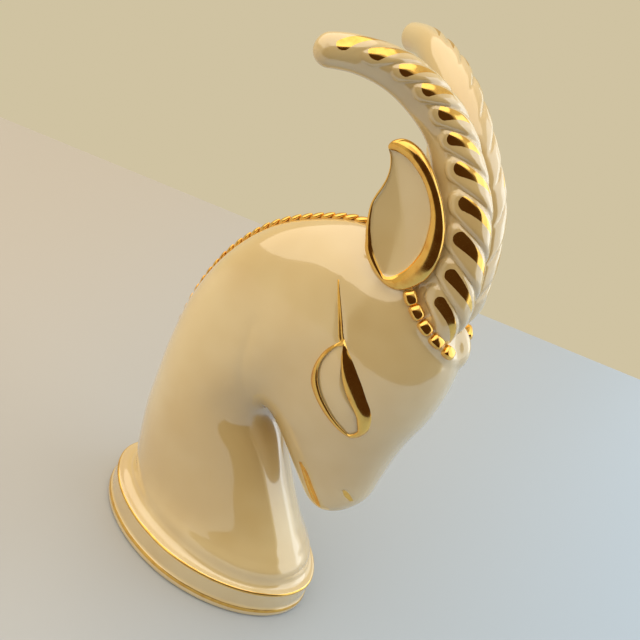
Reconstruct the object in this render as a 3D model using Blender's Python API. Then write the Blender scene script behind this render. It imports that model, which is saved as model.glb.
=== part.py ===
"""Slip-cast ceramic bust of a gazelle on an oval plinth.

One hollow casting: plinth, arched neck, bowed head, a pair of ringed horns, ears, eyes, a bead trim
and a row of mane leaves. Metres, +Z up, the animal faces +X and is symmetric about the XZ plane.
The origin is on the ground, under the middle of the bust's bounding box.
"""
import math

import bmesh
import bpy
import numpy as np
from mathutils import Matrix, Vector
from mathutils.bvhtree import BVHTree

# Plinth
BASE_LENGTH = 0.130
BASE_WIDTH = 0.088
RIM_HEIGHT = 0.018
FOOT_BEAD_REACH = 0.0009
FOOT_BEAD_HEIGHT = 0.0062
COVE_WIDTH = 0.0092
COVE_RISE = 0.0070
FOOT_RING_WIDTH = 0.0080
FOOT_RECESS = 0.0015
BASE_SQUARENESS = 1.90

# Neck and head
NECK_WIDTH = 0.0710
NAPE_REACH = 0.0660
POLL_HEIGHT = 0.2170
FACE_REACH = 0.0740
HEAD_WIDTH = 0.0590
HEAD_SQUARENESS = 2.35

# Horns
HORN_RISE = 0.0830
HORN_DEPTH = 0.0290
HORN_WIDTH = 0.0220
HORN_SPREAD = 0.0980
HORN_RING_COUNT = 12
HORN_RING_DEPTH = 0.0011
HORN_RING_SINK = 1.6
HORN_RING_SLANT = 0.75
HORN_RING_MIDDLE = math.radians(35)
HORN_OVERLAP = 0.0005
HORN_TIP_ROUNDING = 0.0060

# Ears
EAR_LENGTH = 0.0640
EAR_WIDTH = 0.0370
EAR_THICKNESS = 0.0120
EAR_HOLLOW = 0.0035
EAR_RIM = 0.0045
EAR_EDGE = 0.0020
EAR_SPACING = 0.0500

# Eyes, bead trim and mane
EYE_LENGTH = 0.0450
EYE_WIDTH = 0.0240
EYE_BULGE = 0.0022
EYE_SINK = 0.0030
EYELID_RADIUS = 0.0017
BEAD_COUNT = 5
BEAD_RADIUS = 0.0036
BEAD_DROP = 0.0280
BEAD_ARC_MARGIN = 0.0095
BEAD_SLOPE = 0.60
BEAD_ARC_X = 0.595
BEAD_FIRST = math.radians(34)
BEAD_LAST = math.radians(98)
CENTRE_BEAD_HEIGHT = 0.0180
CENTRE_BEAD_WIDTH = 0.0108
CENTRE_BEAD_DEPTH = 0.0094
MANE_LEAF_COUNT = 20
MANE_LEAF_LENGTH = 0.0100
MANE_LEAF_WIDTH = 0.0036
MANE_LEAF_HEIGHT = 0.0016
MANE_LEAF_TILT = 0.15
MANE_TAPER = 0.55
MANE_START = 0.44
MANE_END = 0.05

# Casting
WALL = 0.0045
CURVED_WALL = 1.1 * WALL
FLOOR = 0.0060
VENT_RADIUS = 0.0050

# Facets
COVE_STEPS = 4
CUTTER_SIDES = 24
EYE_SIDES = 24
MANE_STEPS = 12
EYELID_SIDES = 6
BEAD_SIDES = 8
LEAF_SIDES = 6
BODY_SIDES = 40
HEAD_SIDES = 32
HORN_SIDES = 14
HORN_STEPS_PER_RING = 4

# The bounding box is longer in front of the plinth's middle than behind it
BASE_X = (BASE_LENGTH / 2 + FOOT_BEAD_REACH - FACE_REACH) / 2
NECK_RISE = POLL_HEIGHT - RIM_HEIGHT

# Neck sections as shares: nape x of the nape's reach and height of the neck's rise, throat x of the face's
# reach and height of the neck's rise, then the half width of the neck's foot and how narrow the nape side is
NECK_SECTIONS = (
    (0.935, 0.121, 0.64, 0.121, 0.98, 0.06),
    (0.985, 0.221, 0.435, 0.221, 0.95, 0.10),
    (1.00, 0.332, 0.20, 0.327, 0.90, 0.12),
    (1.00, 0.452, 0.01, 0.412, 0.85, 0.16),
    (0.95, 0.603, 0.00, 0.482, 0.80, 0.20),
    (0.81, 0.744, 0.08, 0.548, 0.75, 0.22),
    (0.58, 0.864, 0.19, 0.603, 0.71, 0.20),
    (0.27, 0.952, 0.34, 0.653, 0.66, 0.16),
    (-0.03, 1.000, 0.54, 0.704, 0.58, 0.10),
    (-0.32, 0.995, 0.70, 0.800, 0.38, 0.00),
)

# Head sections as shares: brow x of the face's reach and height, cheek x and height, half width of the head
HEAD_SECTIONS = (
    (0.60, 0.965, 0.08, 0.975, 0.64),
    (0.845, 0.905, -0.12, 0.915, 0.85),
    (0.955, 0.840, -0.28, 0.815, 0.93),
    (0.995, 0.757, -0.40, 0.705, 1.00),
    (0.990, 0.665, -0.38, 0.605, 1.00),
    (0.953, 0.585, -0.15, 0.525, 0.93),
    (0.928, 0.508, 0.13, 0.450, 0.79),
    (0.922, 0.433, 0.345, 0.368, 0.64),
    (0.918, 0.373, 0.452, 0.310, 0.55),
    (0.880, 0.330, 0.541, 0.270, 0.47),
    (0.824, 0.298, 0.622, 0.254, 0.35),
    (0.757, 0.273, 0.689, 0.256, 0.15),
)

# Horn centreline as shares: x of the face's reach, height of the horns' rise above the poll, how far the horn
# has turned out from the middle, then its depth and its width
HORN_SECTIONS = (
    (0.640, -0.32, 0.00, 0.96, 1.00),
    (0.686, -0.157, 0.00, 1.00, 1.00),
    (0.666, 0.024, 0.00, 0.97, 1.00),
    (0.619, 0.199, 0.00, 0.92, 0.98),
    (0.541, 0.375, 0.00, 0.88, 0.96),
    (0.414, 0.543, 0.00, 0.79, 0.93),
    (0.257, 0.699, 0.04, 0.71, 0.89),
    (0.081, 0.807, 0.19, 0.68, 0.83),
    (-0.110, 0.876, 0.42, 0.62, 0.75),
    (-0.295, 0.887, 0.72, 0.54, 0.62),
    (-0.480, 0.832, 1.00, 0.43, 0.46),
)

# Ear outline as shares of half its length and half its width, from the tip round the front edge to the root
EAR_OUTLINE = (
    (1.07, -0.66), (1.00, -0.18), (0.74, 0.42), (0.40, 0.76), (0.03, 0.97), (-0.40, 0.86),
    (-0.80, 0.42), (-0.95, -0.25), (-0.72, -0.85), (-0.35, -1.02), (0.08, -1.02), (0.45, -0.88),
    (0.76, -0.80), (1.00, -0.88),
)
EAR_CENTRE = (0.338, 0.210)
EAR_LEAN = math.radians(17.5)

# Eye outline: a drop whose corner points up and back along the cheek
EYE_CENTRE = (0.486, 0.668)
EYE_LEAN = math.radians(33.0)


def height(share):
    """Height of a share of the neck's rise above the plinth's rim."""
    return RIM_HEIGHT + share * NECK_RISE


def smooth_rows(rows, per_gap, closed=False):
    """Rows along a Catmull-Rom curve through the given rows."""
    rows = np.array(rows, dtype=float)
    count = len(rows)
    if closed:
        padded = np.vstack((rows[-1], rows, rows[0], rows[1]))
        gaps = count
    else:
        padded = np.vstack((2 * rows[0] - rows[1], rows, 2 * rows[-1] - rows[-2]))
        gaps = count - 1
    result = []
    for gap in range(gaps):
        before, start, end, after = padded[gap:gap + 4]
        for step in range(per_gap):
            t = step / per_gap
            result.append(0.5 * (2 * start + (end - before) * t
                                 + (2 * before - 5 * start + 4 * end - after) * t ** 2
                                 + (3 * start - before - 3 * end + after) * t ** 3))
    if not closed:
        result.append(rows[-1])
    return np.array(result)


def superellipse(half_x, half_y, power, sides):
    """Closed outline in the plane, starting at +X."""
    points = []
    for i in range(sides):
        angle = 2 * math.pi * i / sides
        cosine = math.cos(angle)
        sine = math.sin(angle)
        reach = (abs(cosine) ** power + abs(sine) ** power) ** (-1 / power)
        points.append((half_x * reach * cosine, half_y * reach * sine))
    return points


def egg_ring(front, back, half_width, narrow_back, sides, inset=0.0, power=2.0):
    """Section ring between a front and a back point of the XZ plane, narrowed towards its back."""
    front = np.array(front)
    back = np.array(back)
    centre = (front + back) / 2
    half = (front - back) / 2
    depth = np.linalg.norm(half)
    half = half * (depth - inset) / depth
    width = half_width - inset
    ring = []
    for along, aside in superellipse(1.0, 1.0, power, sides):
        across = width * aside * (1 + narrow_back * along)
        ring.append(Vector((BASE_X + centre[0] + half[0] * along, across, centre[1] + half[1] * along)))
    return ring


def plinth_ring(outset, level):
    """Ring of the oval plinth, a distance outside its upper tier."""
    outline = superellipse(BASE_LENGTH / 2 + outset, BASE_WIDTH / 2 + outset, BASE_SQUARENESS, BODY_SIDES)
    return [Vector((BASE_X + x, y, level)) for x, y in outline]


def neck_rows(per_gap):
    """Front point, back point, half width and narrowing of every neck section."""
    rows = []
    for nape_x, nape_z, throat_x, throat_z, width, narrow in smooth_rows(NECK_SECTIONS, per_gap):
        nape = (-nape_x * NAPE_REACH, height(nape_z))
        throat = (throat_x * FACE_REACH, height(throat_z))
        rows.append((throat, nape, width * NECK_WIDTH / 2, narrow))
    return rows


def head_rows(per_gap):
    """Front point, back point and half width of every head section."""
    rows = []
    for brow_x, brow_z, cheek_x, cheek_z, width in smooth_rows(HEAD_SECTIONS, per_gap):
        brow = (brow_x * FACE_REACH, height(brow_z))
        cheek = (cheek_x * FACE_REACH, height(cheek_z))
        rows.append((brow, cheek, width * HEAD_WIDTH / 2))
    return rows


def add_object(name, mesh, collection):
    """Object from a bmesh, with its normals out and smooth faces."""
    bmesh.ops.recalc_face_normals(mesh, faces=mesh.faces)
    bmesh.ops.triangulate(mesh, faces=mesh.faces)
    data = bpy.data.meshes.new(name)
    mesh.to_mesh(data)
    mesh.free()
    data.shade_smooth()
    data.set_sharp_from_angle(angle=math.radians(40))
    item = bpy.data.objects.new(name, data)
    collection.objects.link(item)
    return item


def loft(name, rings, collection):
    """Closed skin over rings of equal length, capped at both ends."""
    mesh = bmesh.new()
    loops = [[mesh.verts.new(point) for point in ring] for ring in rings]
    for lower, upper in zip(loops, loops[1:]):
        for i in range(len(lower)):
            j = (i + 1) % len(lower)
            mesh.faces.new((lower[i], lower[j], upper[j], upper[i]))
    mesh.faces.new(loops[0])
    mesh.faces.new(loops[-1])
    return add_object(name, mesh, collection)


def plinth_and_neck(collection):
    """Plinth with its foot bead, rim and cove, running on into the neck up to the poll."""
    bead = FOOT_BEAD_REACH
    bead_top = FOOT_BEAD_HEIGHT
    rings = [
        plinth_ring(-FOOT_RING_WIDTH - FOOT_RECESS, FOOT_RECESS),
        plinth_ring(-FOOT_RING_WIDTH, 0.0),
        plinth_ring(-bead / 2, 0.0),
        plinth_ring(bead / 2, bead_top * 0.12),
        plinth_ring(bead, bead_top * 0.45),
        plinth_ring(bead, bead_top * 0.70),
        plinth_ring(bead / 2, bead_top * 0.90),
        plinth_ring(0.0, bead_top),
        plinth_ring(0.0, RIM_HEIGHT),
    ]
    neck_foot = egg_ring((BASE_LENGTH / 2 - COVE_WIDTH, 0.0), (COVE_WIDTH - BASE_LENGTH / 2, 0.0),
                         NECK_WIDTH / 2, 0.0, BODY_SIDES)
    rim = rings[-1]
    for step in range(1, COVE_STEPS + 1):
        turn = math.radians(90) * step / COVE_STEPS
        level = RIM_HEIGHT + COVE_RISE * (1 - math.cos(turn))
        ring = []
        for outer, inner in zip(rim, neck_foot):
            point = outer.lerp(inner, math.sin(turn))
            ring.append(Vector((point.x, point.y, level)))
        rings.append(ring)
    for throat, nape, half_width, narrow in neck_rows(2):
        rings.append(egg_ring(throat, nape, half_width, narrow, BODY_SIDES))
    return loft("gazelle_bust", rings, collection)


def head_solid(collection):
    """Bowed head, from the poll down to the muzzle."""
    rings = [egg_ring(brow, cheek, half_width, 0.0, HEAD_SIDES, 0.0, HEAD_SQUARENESS)
             for brow, cheek, half_width in head_rows(2)]
    return loft("head", rings, collection)


def neck_hollow(collection):
    """Casting space in the plinth and the neck, one wall inside them."""
    half_length = BASE_LENGTH / 2 - COVE_WIDTH
    rings = []
    for level in (FLOOR, RIM_HEIGHT + COVE_RISE):
        rings.append(egg_ring((half_length, level), (-half_length, level), NECK_WIDTH / 2, 0.0,
                              CUTTER_SIDES, WALL))
    for throat, nape, half_width, narrow in neck_rows(1)[:-2]:
        rings.append(egg_ring(throat, nape, half_width, narrow, CUTTER_SIDES, CURVED_WALL))
    return loft("neck_hollow", rings, collection)


def head_hollow(collection):
    """Casting space in the head, one wall inside it."""
    rings = []
    for brow, cheek, half_width in head_rows(1)[2:-3]:
        rings.append(egg_ring(brow, cheek, half_width, 0.0, CUTTER_SIDES, WALL, HEAD_SQUARENESS))
    return loft("head_hollow", rings, collection)


def vent_hole(collection):
    """Hole in the plinth's floor that lets the air out in the kiln."""
    mesh = bmesh.new()
    place = Matrix.Translation((BASE_X, 0.0, FLOOR / 2))
    bmesh.ops.create_cone(mesh, cap_ends=True, segments=24, radius1=VENT_RADIUS, radius2=VENT_RADIUS,
                          depth=FLOOR * 2, matrix=place)
    return add_object("vent_hole", mesh, collection)


def horn_rings(side):
    """Rings of one horn: ridged on its outside, smooth on its hollow side, round at its tip."""
    root_y = HORN_WIDTH / 2 - HORN_OVERLAP
    gaps = len(HORN_SECTIONS) - 1
    rows = smooth_rows(HORN_SECTIONS, HORN_RING_COUNT * HORN_STEPS_PER_RING)[::gaps]
    centres = []
    for x, rise, turned, depth, width in rows:
        centres.append(Vector((BASE_X + x * FACE_REACH,
                               side * (root_y + turned * (HORN_SPREAD / 2 - root_y)),
                               POLL_HEIGHT + rise * HORN_RISE)))
    lengths = [0.0]
    for here, there in zip(centres, centres[1:]):
        lengths.append(lengths[-1] + (there - here).length)
    total = lengths[-1]
    rings = []
    for index, centre in enumerate(centres):
        ahead = centres[min(index + 1, len(centres) - 1)]
        behind = centres[max(index - 1, 0)]
        tangent = (ahead - behind).normalized()
        sideways = Vector((0.0, side, 0.0))
        across = (sideways - tangent * sideways.dot(tangent)).normalized()
        outward = across.cross(tangent) * side
        to_tip = min((total - lengths[index]) / HORN_TIP_ROUNDING, 1.0)
        tip = max(math.sqrt(1 - (1 - to_tip) ** 2), 0.15)
        half_depth = rows[index][3] * HORN_DEPTH / 2 * tip
        half_width = rows[index][4] * HORN_WIDTH / 2 * tip
        ring = []
        for i in range(HORN_SIDES):
            angle = 2 * math.pi * i / HORN_SIDES
            turned = (angle + math.pi) % (2 * math.pi) - math.pi
            ridged = 0.5 + 0.5 * math.cos(turned - HORN_RING_MIDDLE)
            ring_number = lengths[index] / total * HORN_RING_COUNT - HORN_RING_SLANT * turned / (math.pi / 2)
            swell = 2 * abs(math.sin(math.pi * ring_number)) - HORN_RING_SINK
            ridge = HORN_RING_DEPTH * ridged * swell * tip
            ring.append(centre + outward * math.cos(angle) * (half_depth + ridge)
                        + across * math.sin(angle) * (half_width + ridge))
        rings.append(ring)
    return rings


def ear_solid(side, collection):
    """Leaf-shaped ear with a rolled rim and a hollowed face, thick behind where it joins the horn."""
    outline = smooth_rows(EAR_OUTLINE, 2, closed=True)
    lean_x = -math.sin(EAR_LEAN)
    lean_z = math.cos(EAR_LEAN)
    centre = Vector((BASE_X + EAR_CENTRE[0] * FACE_REACH, 0.0, POLL_HEIGHT + EAR_CENTRE[1] * HORN_RISE))
    rim_share = EAR_RIM / (EAR_WIDTH / 2)
    layers = (
        (0.10, EAR_THICKNESS), (0.60, EAR_THICKNESS * 0.9), (0.90, EAR_THICKNESS * 0.45), (1.0, EAR_EDGE),
        (1.0 - rim_share * 0.35, 0.0), (1.0 - rim_share, EAR_HOLLOW * 0.5), (0.50, EAR_HOLLOW * 0.9),
        (0.12, EAR_HOLLOW),
    )
    rings = []
    for share, inward in layers:
        ring = []
        for length_share, width_share in outline:
            up = length_share * EAR_LENGTH / 2 * share
            forward = width_share * EAR_WIDTH / 2 * share
            ring.append(Vector((centre.x + lean_x * up + lean_z * forward,
                                side * (EAR_SPACING / 2 - inward),
                                centre.z + lean_z * up - lean_x * forward)))
        rings.append(ring)
    return loft("ear_left" if side > 0 else "ear_right", rings, collection)


def eye_outline(share, sides):
    """Drop-shaped outline in the side view, scaled about the eye's middle."""
    points = []
    for i in range(sides):
        angle = 2 * math.pi * i / sides
        lengthwise = EYE_LENGTH / 2 * math.cos(angle) * share
        taper = math.sin(angle / 2) ** 0.8
        crosswise = EYE_WIDTH / 2 * math.sin(angle) * taper * share * 1.15
        x = EYE_CENTRE[0] * FACE_REACH - math.sin(EYE_LEAN) * lengthwise + math.cos(EYE_LEAN) * crosswise
        z = height(EYE_CENTRE[1]) + math.cos(EYE_LEAN) * lengthwise + math.sin(EYE_LEAN) * crosswise
        points.append((BASE_X + x, z))
    return points


def side_surface(tree, x, z):
    """Half width of the head at a place of the side view."""
    hit = tree.ray_cast(Vector((x, -HEAD_WIDTH, z)), Vector((0, 1, 0)))
    return abs(hit[0].y)


def eye_solid(side, tree, collection):
    """Eyeball as a low dome with an almond outline, let into the head."""
    dome = (
        (1.0, -EYE_SINK), (1.0, 0.0), (0.75, EYE_BULGE * 0.55), (0.40, EYE_BULGE * 0.9), (0.10, EYE_BULGE),
    )
    rings = []
    for share, lift in dome:
        rings.append([Vector((x, side * (side_surface(tree, x, z) + lift), z))
                      for x, z in eye_outline(share, EYE_SIDES)])
    return loft("eyeball_left" if side > 0 else "eyeball_right", rings, collection)


def eyelid_solid(side, tree, collection):
    """Raised lid round the eyeball: a thin rod laid on the head along the eye's outline."""
    path = [Vector((x, side * side_surface(tree, x, z), z)) for x, z in eye_outline(1.0, EYE_SIDES)]
    mesh = bmesh.new()
    loops = []
    for i, centre in enumerate(path):
        tangent = (path[(i + 1) % EYE_SIDES] - path[i - 1]).normalized()
        across = tangent.cross(Vector((0.0, side, 0.0))).normalized()
        up = across.cross(tangent)
        loop = []
        for k in range(EYELID_SIDES):
            angle = 2 * math.pi * k / EYELID_SIDES
            point = centre + (across * math.cos(angle) + up * math.sin(angle)) * EYELID_RADIUS
            loop.append(mesh.verts.new(point))
        loops.append(loop)
    for i, loop in enumerate(loops):
        following = loops[(i + 1) % EYE_SIDES]
        for k in range(EYELID_SIDES):
            n = (k + 1) % EYELID_SIDES
            mesh.faces.new((loop[k], loop[n], following[n], following[k]))
    return add_object("eyelid_left" if side > 0 else "eyelid_right", mesh, collection)


def bead(name, centre, axis, up, radii, sides, collection):
    """Egg-shaped bead: its length along an axis, then its width and its height."""
    along = axis.normalized()
    across = along.cross(up).normalized()
    upward = across.cross(along)
    mesh = bmesh.new()
    bmesh.ops.create_uvsphere(mesh, u_segments=sides, v_segments=sides - 2, radius=1.0)
    bmesh.ops.rotate(mesh, matrix=Matrix.Rotation(math.pi / sides, 3, "Z"), verts=mesh.verts)
    length, width, height_up = radii
    place = Matrix((across * width, upward * height_up, along * length)).transposed().to_4x4()
    place.translation = centre
    bmesh.ops.transform(mesh, matrix=place, verts=mesh.verts)
    return add_object(name, mesh, collection)


def bead_trim(collection):
    """Row of beads round the horns' root, with a taller one in the middle of the forehead."""
    middle = Vector((BASE_X + BEAD_ARC_X * FACE_REACH, 0.0, POLL_HEIGHT - BEAD_DROP))
    reach_x = HORN_DEPTH / 2 + BEAD_ARC_MARGIN
    reach_y = HORN_WIDTH - HORN_OVERLAP
    bead("bead_middle", middle + Vector((reach_x, 0.0, 0.0)),
         Vector((-BEAD_SLOPE, 0.0, 1.0)), Vector((1.0, 0.0, 0.0)),
         (CENTRE_BEAD_HEIGHT / 2, CENTRE_BEAD_WIDTH / 2, CENTRE_BEAD_DEPTH / 2), BEAD_SIDES, collection)
    for side in (-1, 1):
        for number in range(BEAD_COUNT):
            angle = BEAD_FIRST + (BEAD_LAST - BEAD_FIRST) * number / (BEAD_COUNT - 1)
            offset = Vector((reach_x * math.cos(angle), side * reach_y * math.sin(angle), 0.0))
            offset.z = BEAD_SLOPE * (reach_x - offset.x)
            axis = Vector((-reach_x * math.sin(angle), side * reach_y * math.cos(angle),
                           BEAD_SLOPE * reach_x * math.sin(angle)))
            bead("bead_%d_%d" % (number + 1, side), middle + offset, axis, Vector((0.0, 0.0, 1.0)),
                 (BEAD_RADIUS, BEAD_RADIUS, BEAD_RADIUS), BEAD_SIDES, collection)


def mane(collection):
    """Overlapping leaves along the nape, smaller towards the plinth."""
    crest = [Vector((BASE_X + nape[0], 0.0, nape[1]))
             for throat, nape, half_width, narrow in neck_rows(MANE_STEPS)]
    heights = [point.z for point in crest]
    first = next(i for i, level in enumerate(heights) if level > height(MANE_START))
    last = next(i for i, point in enumerate(crest) if point.x > BASE_X + FACE_REACH * MANE_END)
    for number in range(MANE_LEAF_COUNT):
        share = (number + 0.5) / MANE_LEAF_COUNT
        place = first + share * (last - first)
        index = int(place)
        centre = crest[index].lerp(crest[index + 1], place - index)
        axis = (crest[index + 1] - crest[index]).normalized()
        lean = Vector((-axis.z, 0.0, axis.x))
        size = MANE_TAPER + (1 - MANE_TAPER) * share
        bead("mane_leaf_%02d" % (number + 1), centre, axis + lean * MANE_LEAF_TILT, lean,
             (MANE_LEAF_LENGTH / 2 * size, MANE_LEAF_WIDTH / 2 * size, MANE_LEAF_HEIGHT * size), LEAF_SIDES,
             collection)


def ceramic():
    """Warm white glazed earthenware."""
    material = bpy.data.materials.new("glazed_ceramic")
    material.use_nodes = True
    shader = material.node_tree.nodes["Principled BSDF"]
    shader.inputs["Base Color"].default_value = (0.80, 0.70, 0.52, 1.0)
    shader.inputs["Roughness"].default_value = 0.12
    shader.inputs["Metallic"].default_value = 0.0
    material.diffuse_color = (0.80, 0.70, 0.52, 1.0)
    return material


def join_or_cut(item, operation, collection):
    """Boolean of an object with every object of a collection."""
    modifier = item.modifiers.new(operation.lower(), "BOOLEAN")
    modifier.operation = operation
    modifier.solver = "EXACT"
    modifier.operand_type = "COLLECTION"
    modifier.collection = collection


def build():
    """Model the bust."""
    for item in list(bpy.data.objects):
        bpy.data.objects.remove(item, do_unlink=True)
    scene = bpy.context.scene
    parts = bpy.data.collections.new("gazelle_figurine")
    forms = bpy.data.collections.new("joined_forms")
    hollows = bpy.data.collections.new("hollows")
    for collection in (parts, forms, hollows):
        scene.collection.children.link(collection)

    bust = plinth_and_neck(parts)
    bust.data.materials.append(ceramic())
    head = head_solid(forms)
    tree = BVHTree.FromPolygons([v.co for v in head.data.vertices], [p.vertices for p in head.data.polygons])
    for side in (-1, 1):
        loft("horn_left" if side > 0 else "horn_right", horn_rings(side), forms)
        ear_solid(side, forms)
        eye_solid(side, tree, forms)
        eyelid_solid(side, tree, forms)
    bead_trim(forms)
    mane(forms)
    neck_hollow(hollows)
    head_hollow(hollows)
    vent_hole(hollows)
    join_or_cut(bust, "UNION", forms)
    join_or_cut(bust, "DIFFERENCE", hollows)
    for collection in (forms, hollows):
        for item in collection.objects:
            item.hide_render = True
            item.display_type = "WIRE"


build()
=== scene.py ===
import math

import bpy
import numpy as np
from mathutils import Matrix, Vector
from mathutils.bvhtree import BVHTree


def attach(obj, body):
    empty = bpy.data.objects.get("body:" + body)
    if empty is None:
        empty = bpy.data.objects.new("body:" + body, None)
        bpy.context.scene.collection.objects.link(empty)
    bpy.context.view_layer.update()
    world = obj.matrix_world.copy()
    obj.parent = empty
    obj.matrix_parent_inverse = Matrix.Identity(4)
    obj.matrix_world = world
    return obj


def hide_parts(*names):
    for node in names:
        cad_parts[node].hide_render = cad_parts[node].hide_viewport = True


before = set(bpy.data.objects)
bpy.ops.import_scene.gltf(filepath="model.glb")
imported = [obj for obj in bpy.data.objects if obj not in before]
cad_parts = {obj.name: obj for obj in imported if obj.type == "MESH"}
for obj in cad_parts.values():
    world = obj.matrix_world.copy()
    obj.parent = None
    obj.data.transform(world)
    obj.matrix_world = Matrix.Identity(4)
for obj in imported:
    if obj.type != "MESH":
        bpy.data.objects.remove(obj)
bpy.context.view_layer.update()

# Neck and bowed head: the body of the slip casting, in cream earthenware under a clear glaze.
# The lofted forms are melted into each other with soft fillets, as slip and glaze round every
# inner corner, then the cheek and the mouth are pressed in. Sizes are in millimetres from the
# middle of the plinth.
PLINTH_X = -4.05
CASTING_PITCH = 1.05
CASTING_FOOT = 27.0
CASTING_SIDES = 160
HEAD_SQUARENESS = 2.35
NECK_HEAD_FILLET = 9.0
COLLAR_FILLET = 2.6
COLLAR_LEVEL = 165.0
KNOB_FILLET = 3.5

# where the cheek melts into the neck: how far apart the two forms may lie, where the jaw ends
# above the plinth, and the forehead, which keeps its edges
CHEEK_REACH = 11.0
JAW_END = 88.0
JAW_FADE = 10.0
FOREHEAD = (58.0, 0.0, 199.0)
FOREHEAD_RADIUS = 24.0
FOREHEAD_FADE = 8.0
HOLLOW_ROUNDS = 420

# nape x, nape z, throat x, throat z, half width, how narrow the nape side is, squareness
NECK_SECTIONS = (
    (-55.8, 14.0, 55.8, 14.0, 35.5, 0.00, 2.0),
    (-55.8, 25.0, 57.8, 25.0, 37.4, 0.06, 2.0),
    (-58.6, 33.0, 52.4, 33.0, 35.0, 0.06, 2.0),
    (-60.6, 42.1, 44.8, 42.1, 33.4, 0.03, 1.95),
    (-63.4, 62.0, 29.8, 62.0, 32.6, 0.00, 1.90),
    (-64.2, 84.1, 15.2, 83.1, 32.4, 0.00, 1.88),
    (-64.2, 107.9, 2.4, 100.0, 31.0, 0.06, 2.0),
    (-61.3, 138.0, 1.0, 113.9, 28.8, 0.16, 2.4),
    (-52.9, 166.1, 5.9, 127.1, 26.6, 0.22, 2.6),
    (-38.3, 189.9, 14.1, 138.0, 25.2, 0.20, 2.5),
    (-17.8, 207.4, 25.2, 147.9, 23.4, 0.16, 2.3),
    (2.0, 217.0, 40.0, 158.1, 20.6, 0.10, 2.1),
    (21.1, 216.0, 51.8, 177.2, 13.5, 0.00, 2.0),
)
# brow x, brow z, cheek x, cheek z, half width
HEAD_SECTIONS = (
    (44.4, 210.0, 5.9, 212.0, 18.9),
    (62.5, 198.1, -8.9, 200.1, 25.1),
    (70.7, 185.2, -20.7, 180.2, 27.4),
    (73.6, 168.6, -29.6, 158.3, 29.5),
    (73.3, 150.3, -28.1, 138.4, 29.5),
    (70.5, 134.4, -13.0, 120.3, 27.4),
    (68.7, 119.1, 5.6, 104.2, 23.5),
    (68.2, 104.2, 22.4, 88.8, 19.2),
    (67.9, 92.6, 32.2, 79.4, 16.2),
    (65.1, 85.0, 39.2, 73.8, 13.9),
    (61.2, 79.4, 46.2, 71.2, 10.3),
    (56.4, 75.0, 51.4, 71.6, 4.4),
)
# middle of the ledge under the beads, and the radius of its edge
COLLAR_PATH = (
    (33.0, 19.0, 211.5, 2.4),
    (40.5, 20.3, 204.6, 2.6),
    (47.8, 20.0, 199.9, 2.8),
    (55.6, 17.8, 195.2, 2.9),
    (62.3, 13.2, 190.4, 3.0),
    (66.4, 7.0, 186.0, 3.0),
    (67.4, 0.0, 183.6, 3.0),
)
KNOB_CENTRE = (66.2, 0.0, 190.2)
KNOB_RADII = (5.6, 5.4, 9.6)
KNOB_LEAN = math.radians(-31)


def curve(rows, per_gap, closed=False):
    """Rows along a smooth curve through the given rows."""
    rows = np.array(rows, dtype=float)
    if closed:
        padded = np.vstack((rows[-1:], rows, rows[:2]))
    else:
        padded = np.vstack((2 * rows[:1] - rows[1:2], rows, 2 * rows[-1:] - rows[-2:-1]))
    t = np.linspace(0, 1, per_gap, endpoint=False)[None, :, None]
    a, b, c, d = (padded[i:len(padded) - 3 + i][:, None, :] for i in range(4))
    points = 0.5 * (2 * b + (c - a) * t + (2 * a - 5 * b + 4 * c - d) * t ** 2
                    + (3 * b - a - 3 * c + d) * t ** 3)
    points = points.reshape(-1, rows.shape[1])
    if closed:
        return points
    return np.vstack((points, rows[-1:]))


def section_rings(front, back, half_width, narrow, power, sides):
    """Rings of rounded sections, each between a front and a back point of the middle plane."""
    angle = np.linspace(0, 2 * math.pi, sides, endpoint=False)
    cosine = np.cos(angle)
    sine = np.sin(angle)
    power = np.broadcast_to(power, (len(front),))[:, None]
    reach = (np.abs(cosine) ** power + np.abs(sine) ** power) ** (-1 / power)
    along = cosine * reach
    aside = sine * reach
    middle = (front + back) / 2
    half = (front - back) / 2
    x = middle[:, :1] + half[:, :1] * along
    z = middle[:, 1:] + half[:, 1:] * along
    y = half_width[:, None] * aside * (1 + narrow[:, None] * along)
    return np.stack((x, y, z), -1)


def band(rings, looped=True):
    """Points and faces over rings, open at both ends."""
    count, sides = rings.shape[:2]
    i, j = np.meshgrid(np.arange(count - 1), np.arange(sides if looped else sides - 1), indexing="ij")
    k = (j + 1) % sides
    faces = np.stack((i * sides + j, i * sides + k, (i + 1) * sides + k, (i + 1) * sides + j), -1)
    return rings.reshape(-1, 3), faces.reshape(-1, 4)


def skin(rings, capped=True):
    """Points and outward faces of a skin over rings, closed at its ends where it is capped."""
    count, sides = rings.shape[:2]
    points, faces = band(rings)
    corner = points[faces]
    bulk = (corner[:, 0] * np.cross(corner[:, 1], corner[:, 2])).sum()
    bulk += (corner[:, 0] * np.cross(corner[:, 2], corner[:, 3])).sum()
    faces = faces.tolist()
    if capped:
        points = np.vstack((points, rings[0].mean(0), rings[-1].mean(0)))
        low, high = len(points) - 2, len(points) - 1
        top = (count - 1) * sides
        for a in range(sides):
            b = (a + 1) % sides
            faces.append([b, a, low])
            faces.append([top + a, top + b, high])
    if bulk < 0:
        faces = [face[::-1] for face in faces]
    return points, faces


def join(forms):
    """Points and faces of several skins as one mesh."""
    points = []
    faces = []
    start = 0
    for form_points, form_faces in forms:
        points.append(form_points)
        faces += [[index + start for index in face] for face in form_faces]
        start += len(form_points)
    return np.vstack(points), faces


def tree_of(points, faces):
    """Search tree over a skin."""
    return BVHTree.FromPolygons(points.tolist(), faces)


def gap_to(tree, points):
    """Signed distance of points from a closed skin, less than nothing inside."""
    gaps = np.empty(len(points))
    for index, point in enumerate(points.tolist()):
        place, normal, face, gap = tree.find_nearest(point)
        inside = (Vector(point) - place).dot(normal) < 0
        gaps[index] = -gap if inside else gap
    return gaps


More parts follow.
